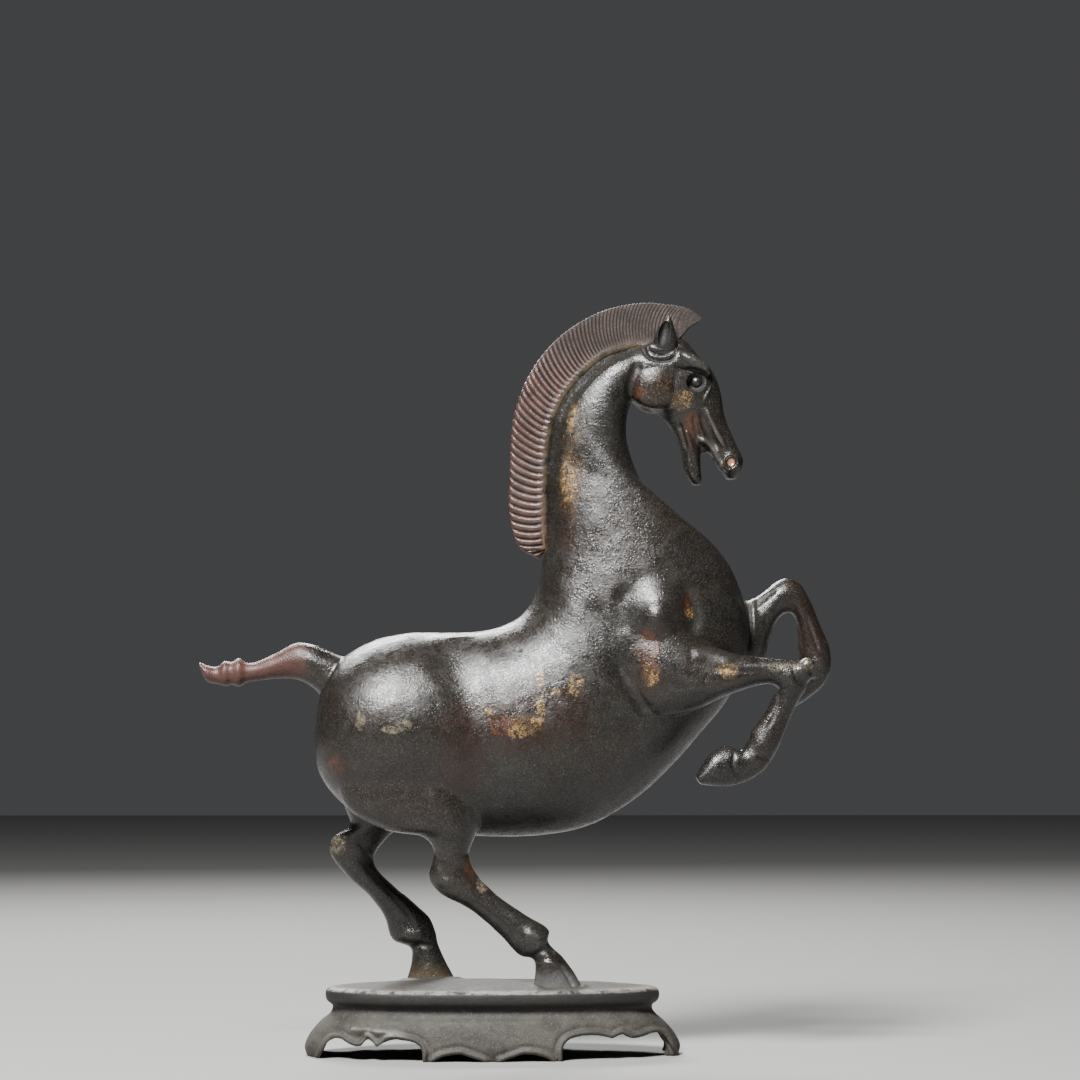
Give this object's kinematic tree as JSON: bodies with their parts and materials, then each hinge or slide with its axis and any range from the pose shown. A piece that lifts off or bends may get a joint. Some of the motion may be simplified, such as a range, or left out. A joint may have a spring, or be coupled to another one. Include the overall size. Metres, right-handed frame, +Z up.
{
  "type": "bronze horse statue on a plinth",
  "caption": "Cast bronze statue of a rearing horse with an arched neck, fluted upright mane and level tail, fixed on a low oval plinth with cloud-shaped openings.",
  "frame": {"origin": "on the ground, under the middle of the whole object's box; the middle of the plinth lies 8.0 mm behind it", "axes": "+Z up, +X the way the horse looks, +Y towards its left side"},
  "size_m": [0.212, 0.0532, 0.2501],
  "materials": {
    "horse_bronze": "dark patina, half gloss, worn gold and red-brown patches",
    "plinth_bronze": "dull dusty patina with a worn rim"
  },
  "bodies": {
    "root": {"horse": "horse_bronze", "plinth": "plinth_bronze"}
  },
  "joints": []
}
